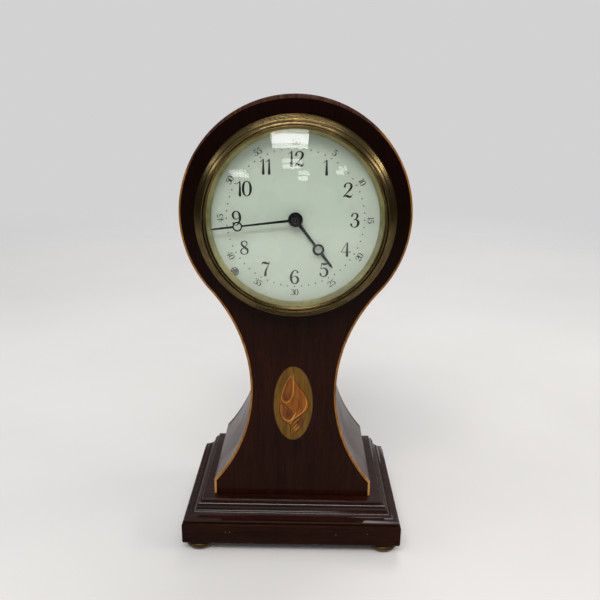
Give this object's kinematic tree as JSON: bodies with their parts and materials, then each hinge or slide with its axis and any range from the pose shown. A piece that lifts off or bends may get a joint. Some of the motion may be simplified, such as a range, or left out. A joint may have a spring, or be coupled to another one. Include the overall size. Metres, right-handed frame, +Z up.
{
  "type": "balloon mantel clock",
  "caption": "Balloon-shaped inlaid mahogany mantel clock with brass bezel, white dial, moon hands and a rear-wound drum movement.",
  "frame": {"origin": "on the surface the clock stands on, midway under the plinth", "axes": "+Z up, -Y out of the dial, +X to the right as one faces the dial"},
  "size_m": [0.118, 0.0866, 0.2392],
  "materials": {
    "mahogany": "French-polished dark Cuban mahogany veneer, glossy",
    "red_mahogany": "polished red-brown mahogany mouldings",
    "boxwood": "varnished boxwood stringing, aged orange-yellow",
    "inlay_veneer": "shaded marquetry veneers under polish",
    "aged_brass": "lacquered brass, dulled to olive",
    "movement_brass": "clean satin brass",
    "enamel": "fired white enamel with a faint green cast, glossy; gloss_plastic stands in for enamel",
    "glass": "clear convex glass",
    "blued_steel": "blued steel, nearly black",
    "steel": "polished steel",
    "spring_steel": "tempered blue steel"
  },
  "bodies": {
    "case": {"front_panel": "mahogany", "case_band": "mahogany", "back_panel": "mahogany", "case_floor": "mahogany", "plinth_block": "red_mahogany", "plinth_moulding": "red_mahogany", "edge_stringing": "boxwood", "shell_inlay": "inlay_veneer", "bezel": "aged_brass", "sight_ring": "aged_brass", "foot_front_left": "aged_brass", "foot_front_right": "aged_brass", "foot_rear_left": "aged_brass", "foot_rear_right": "aged_brass", "rear_ring": "aged_brass", "movement_drum": "aged_brass", "front_plate": "movement_brass", "back_plate": "movement_brass", "pillar_1": "movement_brass", "pillar_2": "movement_brass", "pillar_3": "movement_brass", "pillar_4": "movement_brass", "dial": "enamel", "dial_glass": "glass", "dial_screw": "steel", "balance_bearing_screw": "steel", "minute_wheel_stud": "steel", "click_spring": "steel", "hinge_pin": "steel"},
    "minute_group": {"centre_arbor": "steel", "centre_wheel": "movement_brass", "cannon_pinion": "steel", "minute_hand": "blued_steel", "hand_collet": "aged_brass", "setting_knob": "movement_brass"},
    "hour_group": {"hour_wheel": "movement_brass", "hour_hand": "blued_steel"},
    "motion_group": {"minute_wheel": "movement_brass"},
    "intermediate_group": {"intermediate_arbor": "steel", "intermediate_wheel": "movement_brass"},
    "barrel_group": {"barrel": "movement_brass", "barrel_cap": "movement_brass"},
    "winding_group": {"barrel_arbor": "steel", "ratchet_wheel": "steel", "winding_key": "movement_brass", "mainspring": "spring_steel"},
    "third_group": {"third_arbor": "steel", "third_wheel": "movement_brass"},
    "fourth_group": {"fourth_arbor": "steel", "fourth_wheel": "movement_brass"},
    "escape_group": {"escape_arbor": "steel", "escape_wheel": "movement_brass"},
    "lever_group": {"pallet_lever": "steel", "pallet_arbor": "steel"},
    "balance_group": {"balance_wheel": "movement_brass", "balance_staff": "steel", "hairspring": "spring_steel"},
    "regulator_group": {"regulator_index": "steel"},
    "door_group": {"rear_door": "aged_brass"}
  },
  "joints": [
    {"name": "minute_hand_turn", "type": "hinge", "parent": "case", "child": "minute_group", "pos_m": [0, 0, 0.1804], "axis": [0, 1, 0], "continuous": true},
    {"name": "hour_hand_turn", "type": "hinge", "parent": "case", "child": "hour_group", "pos_m": [0, 0, 0.1804], "axis": [0, 1, 0], "continuous": true},
    {"name": "minute_wheel_turn", "type": "hinge", "parent": "case", "child": "motion_group", "pos_m": [0.00849, 0, 0.17191], "axis": [0, 1, 0], "continuous": true},
    {"name": "intermediate_turn", "type": "hinge", "parent": "case", "child": "intermediate_group", "pos_m": [0.00445, 0, 0.1667], "axis": [0, 1, 0], "continuous": true},
    {"name": "barrel_turn", "type": "hinge", "parent": "case", "child": "barrel_group", "pos_m": [-0.01444, 0, 0.16605], "axis": [0, 1, 0], "continuous": true},
    {"name": "third_turn", "type": "hinge", "parent": "case", "child": "third_group", "pos_m": [-0.01247, 0, 0.1876], "axis": [0, 1, 0], "continuous": true},
    {"name": "fourth_turn", "type": "hinge", "parent": "case", "child": "fourth_group", "pos_m": [-0.00567, 0, 0.19938], "axis": [0, 1, 0], "continuous": true},
    {"name": "escape_turn", "type": "hinge", "parent": "case", "child": "escape_group", "pos_m": [0.00729, 0, 0.19938], "axis": [0, 1, 0], "continuous": true},
    {"name": "winding_turn", "type": "hinge", "parent": "case", "child": "winding_group", "pos_m": [-0.01444, 0, 0.16605], "axis": [0, 1, 0], "range_deg": [0, 1170], "deforming": ["mainspring", "click_spring"]},
    {"name": "lever_swing", "type": "hinge", "parent": "case", "child": "lever_group", "pos_m": [0.01342, 0, 0.19714], "axis": [0, 1, 0], "range_deg": [-8, 8]},
    {"name": "balance_swing", "type": "hinge", "parent": "case", "child": "balance_group", "pos_m": [0.02212, 0, 0.19398], "axis": [0, 1, 0], "range_deg": [-150, 150], "stiffness_Nm_per_rad": 0.000016, "deforming": ["hairspring"]},
    {"name": "regulator_turn", "type": "hinge", "parent": "case", "child": "regulator_group", "pos_m": [0.02212, 0, 0.19398], "axis": [0, 1, 0], "range_deg": [-25, 25]},
    {"name": "rear_door_swing", "type": "hinge", "parent": "case", "child": "door_group", "pos_m": [-0.0488, 0.0424, 0.1804], "axis": [0, 0, 1], "range_deg": [0, 110]}
  ],
  "couplings": [
    {"joint": "hour_hand_turn", "follows": "minute_hand_turn", "ratio": 0.083333},
    {"joint": "minute_wheel_turn", "follows": "minute_hand_turn", "ratio": -0.33333},
    {"joint": "intermediate_turn", "follows": "minute_hand_turn", "ratio": -0.2},
    {"joint": "barrel_turn", "follows": "minute_hand_turn", "ratio": 0.033333},
    {"joint": "third_turn", "follows": "minute_hand_turn", "ratio": -8},
    {"joint": "fourth_turn", "follows": "minute_hand_turn", "ratio": 60},
    {"joint": "escape_turn", "follows": "minute_hand_turn", "ratio": -480}
  ]
}
